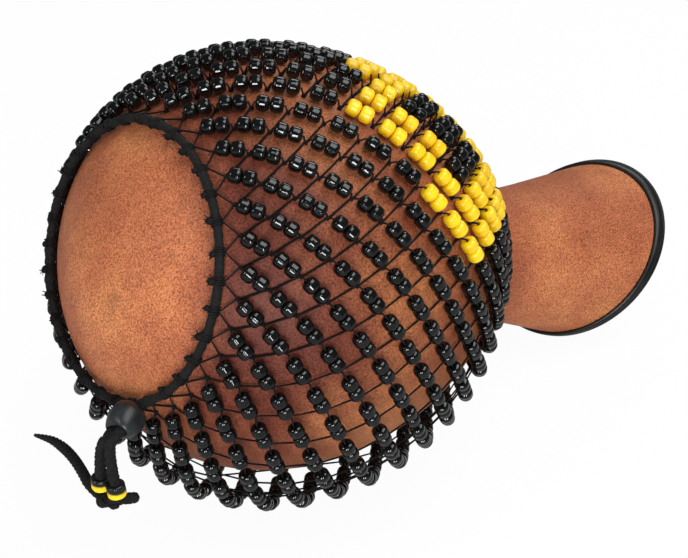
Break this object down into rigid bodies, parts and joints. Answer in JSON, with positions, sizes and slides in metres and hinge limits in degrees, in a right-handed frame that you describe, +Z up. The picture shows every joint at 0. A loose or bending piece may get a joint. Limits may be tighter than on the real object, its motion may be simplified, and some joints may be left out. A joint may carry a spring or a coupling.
{
  "type": "shekere",
  "caption": "Hollow gourd-shaped shaker with a flared neck and rubber-edged mouth, wrapped in a knotted net of plastic beads that slaps the shell when shaken or twisted.",
  "frame": {"origin": "middle of the shekere's footprint as it lies on its side, on the surface it lies on; the drawcord isn't counted", "axes": "+X from the base towards the mouth, +Z up, away from the surface; the shell's own axis dips from +X towards -Z"},
  "size_m": [0.4365, 0.2528, 0.2516],
  "materials": {
    "shell": "satin stippled copper-brown lacquer on a fibreglass shell",
    "edging": "satin black rubber",
    "yellow_bead": "glossy yellow",
    "black_bead": "glossy black",
    "stop": "satin black",
    "thread": "waxed black thread",
    "cord": "braided matte black"
  },
  "bodies": {
    "shell": {"gourd_shell": "shell", "mouth_edging": "edging"},
    "net": {"base_hitches": "thread", "base_lacing": "thread", "base_ring_cord": "cord", "base_tufts": "thread", "beads_resting": "black_bead", "beads_row_01_black": "black_bead", "beads_row_02_black": "black_bead", "beads_row_03_black": "black_bead", "beads_row_04_black": "black_bead", "beads_row_05_black": "black_bead", "beads_row_06_black": "black_bead", "beads_row_06_yellow": "yellow_bead", "beads_row_07_black": "black_bead", "beads_row_07_yellow": "yellow_bead", "beads_row_08_black": "black_bead", "beads_row_08_yellow": "yellow_bead", "beads_row_09_black": "black_bead", "beads_row_09_yellow": "yellow_bead", "beads_row_10_black": "black_bead", "beads_row_10_yellow": "yellow_bead", "beads_row_11_black": "black_bead", "beads_row_11_yellow": "yellow_bead", "beads_row_12_black": "black_bead", "beads_row_12_yellow": "yellow_bead", "beads_row_13_black": "black_bead", "beads_row_13_yellow": "yellow_bead", "beads_row_14_black": "black_bead", "beads_row_14_yellow": "yellow_bead", "beads_row_15_black": "black_bead", "beads_row_15_yellow": "yellow_bead", "beads_row_16_black": "black_bead", "drawcord_leg_a": "cord", "drawcord_leg_b": "cord", "drawcord_short_end": "cord", "drawcord_tail": "cord", "drawcord_tip": "cord", "neck_collar_cord": "cord", "net_thread_row_01": "thread", "net_thread_row_02": "thread", "net_thread_row_03": "thread", "net_thread_row_04": "thread", "net_thread_row_05": "thread", "net_thread_row_06": "thread", "net_thread_row_07": "thread", "net_thread_row_08": "thread", "net_thread_row_09": "thread", "net_thread_row_10": "thread", "net_thread_row_11": "thread", "net_thread_row_12": "thread", "net_thread_row_13": "thread", "net_thread_row_14": "thread", "net_thread_row_15": "thread", "net_thread_row_16": "thread", "tail_bead_a": "yellow_bead", "tail_bead_b": "yellow_bead", "tail_knot": "cord"},
    "stop": {"cord_stop": "stop"}
  },
  "joints": [
    {"name": "net_twist", "type": "hinge", "parent": "shell", "child": "net", "pos_m": [-0.08744, 0.00016, 0.12798], "axis": [0.9457, 0, -0.3249], "continuous": true},
    {"name": "stop_slide", "type": "slide", "parent": "net", "child": "stop", "axis": [-0.8997, -0.3756, -0.2225], "range_m": [0, 0.006]}
  ]
}
